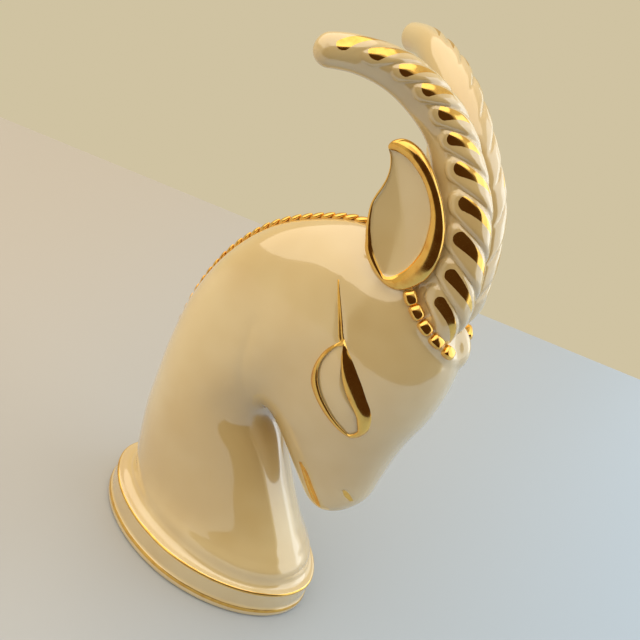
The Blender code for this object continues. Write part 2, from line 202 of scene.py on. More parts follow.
def melt(a, b, width):
    """Distance from two forms that run into each other with a fillet."""
    near = np.maximum(width - np.abs(a - b), 0) / width
    return np.minimum(a, b) - near * near * width / 4


def normals_of(points, quads):
    """Normals of the points of a mesh of quads."""
    corner = points[quads]
    across = np.cross(corner[:, 2] - corner[:, 0], corner[:, 3] - corner[:, 1])
    total = np.zeros_like(points)
    for side in range(4):
        for axis in range(3):
            total[:, axis] += np.bincount(quads[:, side], across[:, axis], len(points))
    return total / np.maximum(np.linalg.norm(total, axis=1), 1e-12)[:, None]


def neighbours(points, quads, weight=None):
    """A function that gives the step from each point to the mean of its neighbours."""
    edges = np.vstack([quads[:, [side, (side + 1) % 4]] for side in range(4)])
    if weight is not None:
        edges = edges[(weight[edges] > 0).any(1)]
    first, second = edges.T
    count = np.bincount(first, minlength=len(points)) + np.bincount(second, minlength=len(points))
    count = np.maximum(count, 1)

    def step(now):
        total = np.zeros_like(now)
        for axis in range(3):
            total[:, axis] = (np.bincount(first, now[second, axis], len(now))
                              + np.bincount(second, now[first, axis], len(now)))
        return total / count[:, None] - now

    return step


def relax(points, quads, share, rounds, weight=None):
    """Points eased towards the mean of their neighbours."""
    step = neighbours(points, quads, weight)
    share = share if weight is None else share * weight[:, None]
    for turn in range(rounds):
        points = points + step(points) * share
    return points


def fill_hollows(points, quads, weight, rounds):
    """Points of inner corners raised until the surface runs smoothly over them."""
    step = neighbours(points, quads, weight)
    for turn in range(rounds):
        if turn % 10 == 0:
            outward = normals_of(points, quads)
        lift = (step(points) * outward).sum(1)
        points = points + outward * (np.maximum(lift, 0) * weight)[:, None]
    return points


def ellipsoid(centre, radii, lean, rings=32, sides=48, power=1.0):
    """Rings of an egg or cushion whose long axis leans about Y."""
    turn = np.linspace(0.03, math.pi - 0.03, rings)
    angle = np.linspace(0, 2 * math.pi, sides, endpoint=False)

    def squared(value):
        return np.sign(value) * np.abs(value) ** power

    x = squared(np.sin(turn))[:, None] * squared(np.cos(angle)) * radii[0]
    y = squared(np.sin(turn))[:, None] * squared(np.sin(angle)) * radii[1]
    z = squared(np.cos(turn))[:, None] * radii[2] + 0 * angle
    turned_x = x * math.cos(lean) + z * math.sin(lean)
    turned_z = z * math.cos(lean) - x * math.sin(lean)
    return np.stack((centre[0] + turned_x, centre[1] + y, centre[2] + turned_z), -1)


def add_piece(name, points, faces, finish, gold=None):
    """A piece of the bust from points in millimetres, riding on the casting."""
    data = bpy.data.meshes.new(name)
    metres = np.asarray(points) * 0.001 + np.array((PLINTH_X * 0.001, 0.0, 0.0))
    data.from_pydata(metres.tolist(), [], faces if isinstance(faces, list) else faces.tolist())
    data.update()
    data.shade_smooth()
    if gold is not None:
        data.attributes.new("gold", "FLOAT", "POINT").data.foreach_set("value", gold)
    item = bpy.data.objects.new(name, data)
    bpy.context.scene.collection.objects.link(item)
    data.materials.append(finish)
    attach(item, "root")
    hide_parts("gazelle_bust")


class Value:
    """A socket of a material, with arithmetic."""

    def __init__(self, finish, socket):
        self.finish = finish
        self.socket = socket

    def maths(self, operation, *others):
        return self.finish.node("ShaderNodeMath", {"operation": operation}, (self, *others))

    def __add__(self, other):
        return self.maths("ADD", other)

    def __radd__(self, other):
        return self.maths("ADD", other)

    def __sub__(self, other):
        return self.maths("SUBTRACT", other)

    def __rsub__(self, other):
        return self.finish.node("ShaderNodeMath", {"operation": "SUBTRACT"}, (other, self))

    def __mul__(self, other):
        return self.maths("MULTIPLY", other)

    def __rmul__(self, other):
        return self.maths("MULTIPLY", other)

    def __abs__(self):
        return self.maths("ABSOLUTE")

    def between(self, low, high):
        return self.finish.node("ShaderNodeMapRange", {"interpolation_type": "SMOOTHSTEP"},
                                {"Value": self, "From Min": low, "From Max": high})

    def clipped(self):
        return self.finish.node("ShaderNodeClamp", {}, {"Value": self})


class Finish:
    """A material built round one Principled BSDF."""

    def __init__(self, name, **values):
        self.material = bpy.data.materials.new(name)
        self.material.use_nodes = True
        self.tree = self.material.node_tree
        self.shader = self.tree.nodes["Principled BSDF"]
        for key, value in values.items():
            self.shader.inputs[key.replace("_", " ")].default_value = value

    def node(self, kind, settings, inputs, output=0):
        made = self.tree.nodes.new(kind)
        for key, value in settings.items():
            setattr(made, key, value)
        pairs = inputs.items() if isinstance(inputs, dict) else enumerate(inputs)
        for key, value in pairs:
            if isinstance(value, Value):
                self.tree.links.new(value.socket, made.inputs[key])
            else:
                made.inputs[key].default_value = value
        return Value(self, made.outputs[output])

    def noise(self, scale, detail):
        place = self.node("ShaderNodeTexCoord", {}, (), "Object")
        return self.node("ShaderNodeTexNoise", {},
                         {"Vector": place, "Scale": scale, "Detail": detail}, "Fac")

    def mix(self, share, low, high):
        made = self.tree.nodes.new("ShaderNodeMix")
        made.data_type = "RGBA"
        for slot, value in ((0, share), (6, low), (7, high)):
            if isinstance(value, Value):
                self.tree.links.new(value.socket, made.inputs[slot])
            else:
                made.inputs[slot].default_value = value
        return Value(self, made.outputs[2])

    def drive(self, **inputs):
        for key, value in inputs.items():
            self.tree.links.new(value.socket, self.shader.inputs[key.replace("_", " ")])


CREAM_DEEP = (0.66, 0.48, 0.215, 1.0)
CREAM_PALE = (0.75, 0.60, 0.33, 1.0)
CLAY_SPECK = (0.50, 0.36, 0.20, 1.0)
GOLD = (0.90, 0.56, 0.14, 1.0)
GOLD_THIN = (0.78, 0.42, 0.09, 1.0)
GLAZE_COAT = 0.9
GOLD_COAT = 0.1
RIPPLE_HEIGHT = 0.0006


def glaze(name, gilding=None):
    """Clear glaze on cream clay, with gold lustre where the gilding says."""
    finish = Finish(name, IOR=1.70, Coat_IOR=1.90, Coat_Roughness=0.025)
    cloud = finish.noise(14.0, 3.0)
    speck = finish.noise(900.0, 2.0)
    cream = finish.mix(cloud.between(0.35, 0.70), CREAM_DEEP, CREAM_PALE)
    cream = finish.mix(speck.between(0.74, 0.80) * 0.25, cream, CLAY_SPECK)
    rough = finish.noise(60.0, 2.0) * 0.05 + 0.10
    if gilding is None:
        finish.drive(Base_Color=cream, Roughness=rough)
        finish.shader.inputs["Coat Weight"].default_value = GLAZE_COAT
    else:
        share = gilding(finish)
        thin = finish.noise(220.0, 3.0).between(0.45, 0.75)
        gold = finish.mix(thin, GOLD, GOLD_THIN)
        brushed = finish.noise(160.0, 2.0) * 0.12 + 0.06
        finish.drive(Base_Color=finish.mix(share, cream, gold),
                     Roughness=rough * (1.0 - share) + brushed * share,
                     Metallic=share,
                     Coat_Weight=GLAZE_COAT - share * (GLAZE_COAT - GOLD_COAT))
    ripple = finish.noise(38.0, 1.0) + finish.noise(160.0, 1.0) * 0.12
    finish.drive(Normal=finish.node("ShaderNodeBump", {},
                                    {"Strength": 0.35, "Distance": RIPPLE_HEIGHT, "Height": ripple}))
    return finish.material


def brushed_edge(finish):
    """Gold where the mesh says, with a slightly uneven brushed edge."""
    depth = finish.node("ShaderNodeAttribute", {"attribute_name": "gold"}, (), "Fac")
    waver = (finish.noise(420.0, 2.0) - 0.5) * 0.35
    return (depth + waver).between(-0.10, 0.10)


cream_glaze = glaze("cream_glaze")
gilded_glaze = glaze("gilded_glaze", brushed_edge)

neck_rows = curve(NECK_SECTIONS, 14)
head_rows = curve(HEAD_SECTIONS, 12)
half_path = curve(COLLAR_PATH, 8)
collar_path = np.vstack((half_path * (1, -1, 1, 1), half_path[-2::-1]))


def neck_rings(sides):
    """Rings of the neck, from inside the plinth up to the poll."""
    return section_rings(neck_rows[:, 2:4], neck_rows[:, :2], *neck_rows[:, 4:].T, sides)


def tube(path, sides):
    """Rings round a path of points, each with its radius."""
    centre = path[:, :3]
    tangent = np.gradient(centre, axis=0)
    tangent /= np.linalg.norm(tangent, axis=1)[:, None]
    first = np.cross(tangent, (0.3, 0.1, 1.0))
    first /= np.linalg.norm(first, axis=1)[:, None]
    second = np.cross(tangent, first)
    angle = np.linspace(0, 2 * math.pi, sides, endpoint=False)[None, :, None]
    radius = path[:, 3][:, None, None]
    spokes = np.cos(angle) * first[:, None, :] + np.sin(angle) * second[:, None, :]
    return centre[:, None, :] + radius * spokes


neck = skin(neck_rings(CASTING_SIDES))
head = skin(section_rings(head_rows[:, :2], head_rows[:, 2:4], head_rows[:, 4], 0 * head_rows[:, 4],
                          HEAD_SQUARENESS, CASTING_SIDES))
collar = skin(tube(collar_path, 16))
knob = skin(ellipsoid(KNOB_CENTRE, KNOB_RADII, KNOB_LEAN))

lump_points, lump_faces = join((neck, head, collar, knob))
lump_data = bpy.data.meshes.new("lump")
lump_data.from_pydata(lump_points.tolist(), [], lump_faces)
lump = bpy.data.objects.new("lump", lump_data)
bpy.context.scene.collection.objects.link(lump)
remesh = lump.modifiers.new("voxels", "REMESH")
remesh.mode = "VOXEL"
remesh.voxel_size = CASTING_PITCH * 1.0
merged = bpy.data.meshes.new_from_object(lump.evaluated_get(bpy.context.evaluated_depsgraph_get()))
bpy.data.objects.remove(lump)
body_points = np.empty(len(merged.vertices) * 3)
merged.vertices.foreach_get("co", body_points)
body_points = body_points.reshape(-1, 3)
body_quads = np.empty(len(merged.loops), dtype=np.int64)
merged.loops.foreach_get("vertex_index", body_quads)
body_quads = body_quads.reshape(-1, 4)
bpy.data.meshes.remove(merged)

trees = [tree_of(*form) for form in (neck, head, collar, knob)]
body_points = relax(body_points, body_quads, 0.5, 4)
for turn in range(3):
    gaps = [gap_to(tree, body_points) for tree in trees[:2]]
    field = melt(gaps[0], gaps[1], NECK_HEAD_FILLET)
    crown = body_points[:, 2] > COLLAR_LEVEL
    for tree, fillet in ((trees[2], COLLAR_FILLET), (trees[3], KNOB_FILLET)):
        field[crown] = melt(field[crown], gap_to(tree, body_points[crown]), fillet)
    body_points -= normals_of(body_points, body_quads) * field[:, None]
    body_points = relax(body_points, body_quads, 0.35, 2 if turn < 2 else 1)

# The cheek and the neck run into each other, down to where the jaw leaves the throat
from_forehead = np.linalg.norm(body_points - FOREHEAD, axis=1)
meeting = np.clip(2.0 - np.abs(gaps[0] - gaps[1]) / CHEEK_REACH, 0, 1)
meeting *= np.clip((body_points[:, 2] - JAW_END) / JAW_FADE, 0, 1)
meeting *= np.clip((from_forehead - FOREHEAD_RADIUS) / FOREHEAD_FADE, 0, 1)
body_points = relax(body_points, body_quads, 0.5, 30, meeting)
body_points = fill_hollows(body_points, body_quads, meeting * 0.95, HOLLOW_ROUNDS)
body_points = relax(body_points, body_quads, 0.5, 30, meeting)


def stroke(points, path):
    """Distance from points of the side view to a path, and how far along it they lie."""
    path = curve(path, 10)
    start = path[:-1]
    run = path[1:] - start
    length = (run ** 2).sum(1)
    best = np.full(len(points), 1e9)
    along = np.zeros(len(points))
    for index in range(len(start)):
        offset = points - start[index]
        t = np.clip(offset @ run[index] / length[index], 0, 1)
        gap = np.linalg.norm(offset - t[:, None] * run[index], axis=1)
        closer = gap < best
        best[closer] = gap[closer]
        along[closer] = (index + t[closer]) / len(start)
    return best, along


# side-view paths: x, z
CHEEK_LINE = ((-20.0, 160.0), (-17.2, 147.4), (-14.1, 132.7), (-9.0, 120.5), (-3.4, 111.0))
MOUTH_LINE = ((31.8, 97.8), (37.0, 92.2), (42.1, 85.7), (46.6, 80.6), (50.5, 77.0))
NOSTRIL_LINE = ((57.0, 97.7), (59.8, 94.8), (62.7, 91.9))
BROW_LINE = ((8.3, 196.8), (13.5, 189.6), (18.5, 182.2), (22.6, 175.8), (24.7, 173.9))
# path, how deep it is pressed in, how wide
PRESSED_LINES = ((MOUTH_LINE, 0.7, 1.6), (NOSTRIL_LINE, 0.8, 1.5), (BROW_LINE, 0.35, 1.3),
                 (CHEEK_LINE, 0.5, 3.0))

side_view = body_points[:, [0, 2]]
facing = normals_of(body_points, body_quads)
sideways = np.clip(np.abs(facing[:, 1]) * 1.6 - 0.2, 0, 1)
press = np.zeros(len(body_points))
for path, depth, width in PRESSED_LINES:
    gap, along = stroke(side_view, path)
    fade = np.clip(np.sin(math.pi * np.clip(along, 0.02, 0.98)) * 2, 0, 1)
    press += depth * np.exp(-(gap / width) ** 2) * fade
body_points -= facing * (press * sideways)[:, None]
body_points = relax(body_points, body_quads, 0.3, 1)

kept = (body_points[body_quads][:, :, 2] > CASTING_FOOT).all(1)
body_quads = body_quads[kept]
used = np.unique(body_quads)
renumber = np.full(len(body_points), -1)
renumber[used] = np.arange(len(used))
body_points = body_points[used]
body_quads = renumber[body_quads]
add_piece("neck_and_head", body_points, body_quads, cream_glaze)
body_tree = tree_of(body_points, body_quads.tolist())

# Plinth: the oval foot of the same casting, an upright band with a cove above it and a rolled
# foot below, its two edges picked out with brushed gold lines. The foot ring lifts the
# underside a little off the table.
PLINTH_HALF_LENGTH = 65.0
PLINTH_HALF_WIDTH = 44.0
PLINTH_SQUARENESS = 1.90
PLINTH_SIDES = 288
PLINTH_TOP = 18.15
COVE_TOP = 25.0
COVE_STEPS = 14
NECK_TUCK = 0.9985
# middle of a gold line above the table, and half its breadth
RIM_LINE = (17.2, 0.68)
FOOT_LINE = (4.6, 0.95)


def plinth_ring(outset, level):
    """Ring of the plinth's outline at a level, moved outwards."""
    angle = np.linspace(0, 2 * math.pi, PLINTH_SIDES, endpoint=False)
    cosine = np.cos(angle)
    sine = np.sin(angle)
    reach = np.abs(cosine) ** PLINTH_SQUARENESS + np.abs(sine) ** PLINTH_SQUARENESS
    reach = reach ** (-1 / PLINTH_SQUARENESS)
    x = (PLINTH_HALF_LENGTH + outset) * reach * cosine
    y = (PLINTH_HALF_WIDTH + outset) * reach * sine
    return np.stack((x, y, np.full(PLINTH_SIDES, level)), -1)


# outset from the upright band, and level, from the underside to the top of the rim
profile = curve((
    (-57.0, 1.6), (-40.0, 1.6), (-14.0, 1.5), (-9.5, 1.4), (-8.3, 0.9), (-7.4, 0.15),
    (-6.0, 0.0), (-3.0, 0.0), (-1.0, 0.1), (0.2, 0.5), (0.75, 1.4), (0.9, 2.6),
    (0.85, 4.2), (0.5, 5.4), (0.0, 6.1), (-0.25, 6.9), (-0.25, 8.0), (-0.1, 12.0),
    (0.0, 15.6), (0.0, 16.8), (-0.25, 17.5), (-0.8, 17.95), (-1.6, PLINTH_TOP),
), 5)
rings = [plinth_ring(outset, max(level, 0.0)) for outset, level in profile]
rim_ring = rings[-1]
foot_rows = [ring for ring in neck_rings(PLINTH_SIDES) if COVE_TOP <= ring[:, 2].mean() <= COVE_TOP + 5.0]
for step in range(1, COVE_STEPS + 1):
    turn = math.radians(90) * step / COVE_STEPS
    ring = rim_ring + (foot_rows[0] - rim_ring) * math.sin(turn) ** 0.9
    ring[:, 2] = PLINTH_TOP + (COVE_TOP - PLINTH_TOP) * (1 - math.cos(turn)) ** 1.1
    rings.append(ring)
rings += [ring * (NECK_TUCK, NECK_TUCK, 1.0) for ring in foot_rows[1:]]


def pinstripes(finish):
    """Gold lines round the rim and the foot."""
    place = finish.node("ShaderNodeTexCoord", {}, (), "Object")
    level = finish.node("ShaderNodeSeparateXYZ", {}, (place,), "Z") * 1000.0
    level = level + (finish.noise(90.0, 2.0) - 0.5) * 0.5
    lines = None
    for middle, half in (RIM_LINE, FOOT_LINE):
        line = (half - abs(level - middle)).between(-0.12, 0.12)
        lines = line if lines is None else (lines + line).clipped()
    return lines


points, faces = skin(np.array(rings), capped=False)
add_piece("plinth", points, faces, glaze("lined_glaze", pinstripes))

# Horns: a pair of solid cast horns that rise together from the forehead and part at their
# tips. Rounded lobes wrap the front, each with a brushed drop of gold; the hollow side is
# smooth.
HORN_DEPTH = 14.5
HORN_WIDTH = 11.0
HORN_SPREAD = 48.1
HORN_ROOT = 10.5
HORN_ROUND_END = 6.0
HORN_PITCH = 0.55
HORN_SIDES = 112
LOBE_RISE = 1.7
LOBE_SINK = 1.45
LOBE_EDGE = 3.2
LOBE_SHIFT = 2.2
LOBE_LEAD = 34.0909
GROOVE = 0.7
DROP_TAPER = 0.75
DROP_BEND = (2.0, 3.4)
UNPAINTED = -9.0
# where the lobes are, round the horn in degrees: their middle, their reach and its fade
LOBE_MIDDLE = 50.0
LOBE_REACH = 98.0
LOBE_FADE = 42.0
# how much of the horn's tip is smooth, and the fade into it
TIP_SMOOTH = 8.0
TIP_FADE = 18.0
# place along the horn, and how far a lobe climbs there for each degree round it
LOBE_SLIDE = ((0.0, 0.195), (35.0, 0.180), (60.0, 0.162), (90.0, 0.150), (155.0, 0.190))
# number of a lobe, and how strongly it stands out
LOBE_STRENGTH = ((0, 1.0), (7, 0.9), (8, 0.8), (9, 0.55), (10, 0.3))

# x, z, how far it has turned out, depth, width
HORN_LINE = (
    (47.4, 190.4, 0.00, 0.96, 1.00),
    (50.8, 204.0, 0.00, 1.00, 1.00),
    (49.3, 219.0, 0.00, 0.97, 1.00),
    (45.8, 233.5, 0.00, 0.92, 0.98),
    (40.0, 248.1, 0.00, 0.88, 0.96),
    (30.6, 262.1, 0.00, 0.79, 0.93),
    (19.0, 275.0, 0.04, 0.71, 0.89),
    (6.0, 284.0, 0.19, 0.68, 0.83),
    (-8.1, 289.7, 0.42, 0.62, 0.75),
    (-21.8, 290.6, 0.72, 0.54, 0.62),
    (-35.5, 286.1, 1.00, 0.43, 0.46),
)
# how far round the horn a drop's place along it is read, in degrees
DROP_MIDDLE = 70.0
# place along the horn, where the drop starts and ends round it in degrees, its radius
DROPS = (
    (20.9, 82.0, 2.0, 2.8),
    (34.6, 79.0, 0.0, 3.0),
    (51.0, 76.0, -10.0, 3.3),
    (66.1, 70.0, -4.0, 3.0),
    (80.6, 69.0, -12.0, 3.0),
    (93.9, 67.0, 4.0, 3.1),
    (106.6, 60.0, 0.0, 3.1),
    (119.0, 57.0, 0.0, 3.0),
    (130.6, 60.0, -8.0, 3.0),
    (143.4, 62.0, -28.0, 3.0),
    (155.0, 64.0, -40.0, 2.6),
)

horn_line = curve(HORN_LINE, 40)


def horn_rings(side):
    """Rings of a horn, and how deep each of their points lies inside a gold drop."""
    turned_out = side * (HORN_ROOT + horn_line[:, 2] * (HORN_SPREAD - HORN_ROOT))
    centre = np.stack((horn_line[:, 0], turned_out, horn_line[:, 1]), -1)
    travelled = np.concatenate(([0.0], np.cumsum(np.linalg.norm(np.diff(centre, axis=0), axis=1))))
    total = travelled[-1]
    round_end = HORN_ROUND_END * (1 - np.cos(np.linspace(math.pi / 2, 0.06, 20)))
    place = np.concatenate((np.arange(0, total - HORN_ROUND_END, HORN_PITCH), total - round_end))

    def read(values):
        return np.interp(place, travelled, values)

    centre = np.stack([read(centre[:, axis]) for axis in range(3)], -1)
    tangent = np.gradient(centre, place, axis=0)
    for turn in range(6):
        tangent[1:-1] = (tangent[:-2] + tangent[1:-1] * 2 + tangent[2:]) / 4
    tangent /= np.linalg.norm(tangent, axis=1)[:, None]
    sideways = np.array((0.0, side, 0.0))
    across = sideways - tangent * (tangent @ sideways)[:, None]
    across /= np.linalg.norm(across, axis=1)[:, None]
    outward = np.cross(across, tangent) * side
    to_end = np.clip((total - place) / HORN_ROUND_END, 0, 1)
    end = np.sqrt(1 - (1 - to_end) ** 2)[:, None]
    half_depth = read(horn_line[:, 3])[:, None] * HORN_DEPTH * end
    half_width = read(horn_line[:, 4])[:, None] * HORN_WIDTH * end

    angle = np.linspace(-math.pi, math.pi, HORN_SIDES, endpoint=False)
    round_it = np.degrees(angle)[None, :]
    s = place[:, None]
    arc = (half_depth * np.abs(np.sin(angle)) + half_width * np.abs(np.cos(angle))) * math.pi / 180
    arc = np.maximum(arc, 0.05)
    slide = np.interp(s, *np.transpose(LOBE_SLIDE))
    level = s + slide * (DROP_MIDDLE - round_it)
    slant = np.cos(np.arctan2(slide, arc))
    along = np.hypot(slide, arc)
    swell = np.zeros_like(level)
    gold = np.full_like(level, UNPAINTED)
    places = [drop[0] for drop in DROPS]
    for number, (middle, first, last, radius) in enumerate(DROPS):
        below = middle - places[number - 1] if number else places[1] - places[0]
        above = places[number + 1] - middle if number + 1 < len(places) else 12.0
        offset = level - middle
        reach = np.where(offset > 0, above, below) / 2
        half = reach * slant - GROOVE / 2
        v = (offset + LOBE_SHIFT) * slant
        u = (first + LOBE_LEAD - round_it) * along - (offset + LOBE_SHIFT) * slide / along
        inside = np.where(u < half, half - np.hypot(u - half, v), half - np.abs(v))
        inside = np.clip(inside / LOBE_EDGE, 0, 1)
        rise = np.sqrt(1 - (1 - inside) ** 2)
        strength = np.interp(number, *np.transpose(LOBE_STRENGTH))
        swell = np.maximum(swell, rise * strength * (0.84 - 0.16 * np.clip(v / half, -1, 1)))
        v = offset * slant
        run = (first - round_it) * along - offset * slide / along
        length = (first - last) * along
        t = np.clip(run / length, 0, 1)
        width = radius * (1 - t) ** DROP_TAPER
        bent = v - DROP_BEND[0] * t + DROP_BEND[1] * t ** 2
        depth = np.where(run < 0, radius - np.hypot(run, v), width - np.abs(bent))
        depth = np.where(run > length, -np.hypot(run - length, bent), depth)
        gold = np.maximum(gold, depth)
    front = np.clip((LOBE_REACH - np.abs(round_it - LOBE_MIDDLE)) / LOBE_FADE, 0, 1)
    front = front * front * (3 - 2 * front)
    tip = np.clip((total - TIP_SMOOTH - s) / TIP_FADE, 0, 1)
    relief = (swell * LOBE_RISE - LOBE_SINK) * front * tip * end
    forward = (np.cos(angle) * (half_depth + relief))[:, :, None]
    aside = (np.sin(angle) * (half_width + relief))[:, :, None]
    return centre[:, None, :] + outward[:, None, :] * forward + across[:, None, :] * aside, gold


for side, name in ((-1, "horn_right"), (1, "horn_left")):
    rings, gold = horn_rings(side)
    points, faces = skin(rings)
    add_piece(name, points, faces, gilded_glaze, np.append(gold.ravel(), (UNPAINTED, UNPAINTED)))

# Ears: a dished leaf on each side of the horns, cast with the head, with a rolled rim that is
# broad in front and below and gilded all round.
EAR_PLANE = 26.0
EAR_RIM_RISE = 1.9
EAR_RIM_ROUNDNESS = 0.30
EAR_OUTER_DROP = 1.2
EAR_INNER_DROP = 0.9
EAR_DISH = 0.9
EAR_THICKNESS = 13.0
EAR_RIM_STEPS = 12
EAR_BOWL_ROUNDS = 260
EAR_MIDDLE = (21.0, 236.0)
# share of the way from the middle out to the edge, and how far inward the back lies there
EAR_BACK = ((0.15, EAR_THICKNESS), (0.60, EAR_THICKNESS * 0.95), (0.85, EAR_THICKNESS * 0.62),
            (0.95, EAR_THICKNESS * 0.36), (0.99, 3.0), (1.0, 1.7))
# share of the way from the middle out to the rim, for the rings of the dish
EAR_DISH_SHARES = (0.985, 0.96, 0.91, 0.84, 0.75, 0.65, 0.54, 0.42, 0.30, 0.18, 0.06)

# outer edge x, z and inner edge of the rim x, z, from the tip down the front edge and back up
EAR_STATIONS = (
    (1.7, 261.5, 3.3, 260.4), (2.7, 264.4, 4.8, 261.0), (5.7, 266.9, 6.8, 261.3),
    (9.5, 267.7, 9.5, 261.3), (13.7, 267.1, 12.6, 260.8), (18.2, 265.1, 15.9, 259.6),
    (22.9, 262.1, 19.8, 257.6), (27.4, 258.3, 23.5, 255.0), (31.4, 254.3, 26.8, 251.8),
    (35.1, 249.9, 29.8, 248.0), (38.3, 245.3, 31.9, 244.0), (40.8, 240.1, 33.3, 239.5),
    (42.4, 234.8, 34.4, 234.6), (43.2, 229.5, 34.9, 229.8), (43.2, 224.3, 34.5, 225.4),
    (42.1, 219.4, 33.5, 221.1), (39.8, 214.8, 32.0, 217.4), (36.7, 211.0, 30.3, 214.5),
    (32.8, 208.6, 28.3, 212.2), (28.5, 208.1, 25.8, 211.2), (24.1, 209.1, 23.0, 212.9),
    (19.8, 211.0, 19.9, 215.2), (16.0, 213.5, 17.2, 217.5), (13.0, 216.6, 15.0, 219.9),
    (11.1, 220.6, 13.2, 222.6), (9.3, 224.6, 11.0, 226.1), (7.5, 229.9, 8.9, 230.6),
    (6.2, 235.4, 7.3, 235.6), (6.3, 240.2, 7.3, 240.1), (7.0, 244.8, 7.9, 244.9),
    (7.2, 249.5, 7.9, 249.6), (6.4, 253.9, 7.0, 254.1), (4.7, 257.6, 5.2, 258.0),
    (2.9, 259.9, 4.2, 259.1),
)

edge = curve(EAR_STATIONS, 6, closed=True)
outer = edge[:, :2]
inner = edge[:, 2:]
broad = np.linalg.norm(outer - inner, axis=1)
middle = np.array(EAR_MIDDLE)
bowl = inner.copy()
for turn in range(EAR_BOWL_ROUNDS):
    bowl = (np.roll(bowl, 1, axis=0) + bowl * 2 + np.roll(bowl, -1, axis=0)) / 4
for side, name in ((-1, "ear_right"), (1, "ear_left")):
    rings = []
    gold = []
    for share, inward in EAR_BACK:
        flat = middle + (outer - middle) * share
        rings.append(np.column_stack((flat[:, 0], np.full(len(flat), EAR_PLANE - inward), flat[:, 1])))
        gold.append(np.full(len(flat), share * 30 - 30.4))
    for step in range(EAR_RIM_STEPS + 1):
        t = step / EAR_RIM_STEPS
        flat = outer + (inner - outer) * t
        swell = math.sqrt(max(0.0, 1 - (1 - 2 * t) ** 2))
        rise = swell * np.minimum(broad * EAR_RIM_ROUNDNESS, EAR_RIM_RISE)
        level = EAR_PLANE - EAR_OUTER_DROP * (1 - t) - EAR_INNER_DROP * t + rise
        rings.append(np.column_stack((flat[:, 0], level, flat[:, 1])))
        gold.append(broad * (1 - t) + 0.1)
    for share in EAR_DISH_SHARES:
        flat = middle + ((inner - middle) * share + (bowl - inner) * share * (1 - share) * 1.6)
        dip = EAR_DISH * (1 - share ** 2) + EAR_INNER_DROP + 0.5 * min(1, (1 - share) * 25)
        rings.append(np.column_stack((flat[:, 0], np.full(len(flat), EAR_PLANE - dip), flat[:, 1])))
        gold.append(np.full(len(flat), (share - 1) * 12.0 - 0.05))
    rings = np.array(rings) * (1, side, 1)
    points, faces = skin(rings)
    gold = np.append(np.array(gold).ravel(), (UNPAINTED, UNPAINTED))
    add_piece(name, points, faces, gilded_glaze, gold)

# Eyes: a smooth cream eyeball under heavy lids, the upper lid a broad gilded crescent and the
# lower one a thin gilded line, both modelled on the head before firing.
LID_RISE = 1.25
LID_ROUNDNESS = 0.26
LID_LEAN = 1.4
LID_SLOPE = 0.20
LID_SINK = 0.12
LID_STEPS = 12
EYEBALL_RISE = 1.5
EYEBALL_SINK = 0.5
# share of the way from the middle of the eye out to the lids, for the rings of the eyeball
EYEBALL_SHARES = (1.03, 0.97, 0.90, 0.80, 0.68, 0.55, 0.42, 0.28, 0.14, 0.03, 0.0)

# outer edge of the lids x, z and their inner edge x, z
EYE_STATIONS = (
    (24.9, 175.6, 26.2, 171.8), (28.2, 172.4, 27.3, 168.2), (32.6, 169.2, 30.1, 163.1),
    (36.7, 165.7, 33.5, 158.0), (41.8, 161.0, 36.9, 154.0), (46.7, 155.6, 40.6, 150.6),
    (50.2, 151.7, 44.0, 147.8), (52.6, 147.4, 46.6, 144.8), (53.7, 142.8, 48.3, 141.5),
    (53.8, 139.4, 49.5, 138.6), (52.6, 136.0, 49.5, 136.5), (50.8, 133.4, 48.4, 134.7),
    (48.3, 131.7, 47.0, 133.5), (44.5, 131.9, 45.4, 133.9), (40.0, 133.1, 41.0, 135.7),
    (34.6, 135.5, 35.8, 138.6), (29.5, 138.5, 31.1, 142.0), (25.2, 141.8, 27.2, 145.3),
    (21.0, 146.1, 23.6, 149.9), (18.8, 150.8, 21.2, 154.6), (17.9, 156.1, 20.2, 159.7),
    (18.1, 161.2, 20.7, 164.1), (19.1, 165.9, 21.8, 167.6), (20.9, 170.0, 23.1, 170.5),
    (22.9, 173.2, 24.6, 172.0), (24.1, 175.2, 25.4, 172.7),
)


def laid(flat, side, lift):
    """Points of the side view laid on the head, lifted along its surface."""
    result = []
    lift = np.broadcast_to(lift, (len(flat),))
    for (x, z), rise in zip(flat.tolist(), lift):
        from_outside = Vector((x, side * 60.0, z))
        place, normal, face, gap = body_tree.ray_cast(from_outside, Vector((0, -side, 0)))
        if place is None:
            place, normal, face, gap = body_tree.find_nearest(Vector((x, side * 5.0, z)))
        result.append(place + normal * rise)
    return np.array(result)


gold_lustre = glaze("gold_lustre", lambda finish: finish.noise(300.0, 2.0).between(-1.0, -0.5))
eye = curve(EYE_STATIONS, 6, closed=True)
lid_outer = eye[:, :2]
lid_inner = eye[:, 2:]
lid_broad = np.linalg.norm(lid_outer - lid_inner, axis=1)
eye_middle = lid_inner.mean(0)
for side, name in ((-1, "right"), (1, "left")):
    rings = []
    for step in range(LID_STEPS + 1):
        t = step / LID_STEPS
        swell = math.sqrt(max(0.0, 1 - (1 - 2 * t ** 1.5) ** 2))
        rise = swell * np.minimum(lid_broad * LID_ROUNDNESS, LID_RISE)
        lean = t * np.minimum(lid_broad * LID_SLOPE, LID_LEAN)
        rings.append(laid(lid_outer + (lid_inner - lid_outer) * t, side, rise + lean - LID_SINK))
    points, faces = band(np.array(rings))
    add_piece("eyelids_" + name, points, faces if side > 0 else faces[:, ::-1], gold_lustre)
    rings = []
    for share in EYEBALL_SHARES:
        rise = EYEBALL_RISE * math.sqrt(max(0.0, 1 - (share / 1.05) ** 2)) - EYEBALL_SINK
        rings.append(laid(eye_middle + (lid_inner - eye_middle) * share, side, rise))
    points, faces = band(np.array(rings))
    add_piece("eyeball_" + name, points, faces if side > 0 else faces[:, ::-1], cream_glaze)

